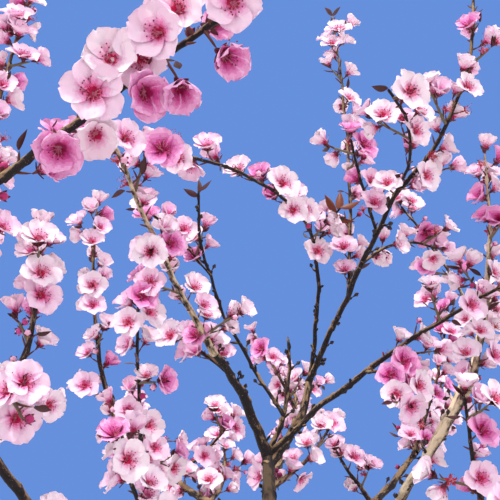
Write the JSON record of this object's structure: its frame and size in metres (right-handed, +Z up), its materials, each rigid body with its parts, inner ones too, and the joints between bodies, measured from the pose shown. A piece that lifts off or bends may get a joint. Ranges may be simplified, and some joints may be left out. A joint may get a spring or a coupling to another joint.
{
  "type": "cherry blossom tree",
  "caption": "Young blossoming fruit tree: short bare trunk with a root flare and a flat foot, boughs spreading like an open vase, and twigs covered in pink blossom.",
  "frame": {"origin": "centre of the flat cut under the trunk, at ground level", "axes": "+Z up along the trunk; the side towards -Y is the one the picture looks up at, with +X to its right"},
  "size_m": [1.1165, 1.4333, 1.8683],
  "materials": {
    "bark": "rough dark brown bark with tan lenticels and knobbly buds",
    "pale_bark": "paler grey-tan bark on the lower right boughs",
    "blossom": "soft pale pink petals with a deep pink heart, maroon calyx and fine stamens"
  },
  "bodies": {
    "root": {"back_bough": "bark", "back_left_bough": "bark", "back_left_mass": "blossom", "back_low_mass": "blossom", "back_mass": "blossom", "back_right_bough": "bark", "back_right_mass": "blossom", "back_side_mass": "blossom", "centre_bough": "bark", "centre_spur": "bark", "edge_bough": "bark", "edge_low_mass": "blossom", "edge_mass": "blossom", "edge_tall_mass": "blossom", "far_left_bough": "bark", "far_left_low_mass": "blossom", "far_left_mass": "blossom", "fork_mass": "blossom", "front_left_mass": "blossom", "front_right_bough": "bark", "front_right_mass": "blossom", "high_bough": "bark", "high_left_mass": "blossom", "high_mass": "blossom", "high_right_mass": "blossom", "high_side_mass": "blossom", "leaf_spur": "bark", "left_bough": "bark", "left_mass": "blossom", "left_outer_bough": "bark", "left_side_mass": "blossom", "low_right_bough": "bark", "low_right_mass": "blossom", "low_side_mass": "blossom", "near_bough": "bark", "near_mass": "blossom", "near_side_bough": "bark", "pale_back_mass": "blossom", "pale_bough": "pale_bark", "pale_mass": "blossom", "pale_side_bough": "pale_bark", "pale_side_mass": "blossom", "rear_high_mass": "blossom", "rear_left_bough": "bark", "rear_left_high_mass": "blossom", "rear_left_mass": "blossom", "rear_low_bough": "bark", "rear_low_mass": "blossom", "rear_right_bough": "bark", "rear_right_high_mass": "blossom", "rear_right_mass": "blossom", "right_bough": "bark", "right_mass": "blossom", "right_under_mass": "blossom", "slender_bough": "bark", "slender_mass": "blossom", "trunk": "bark", "upper_mass": "blossom", "upright_bough": "bark", "upright_mass": "blossom"}
  },
  "joints": []
}
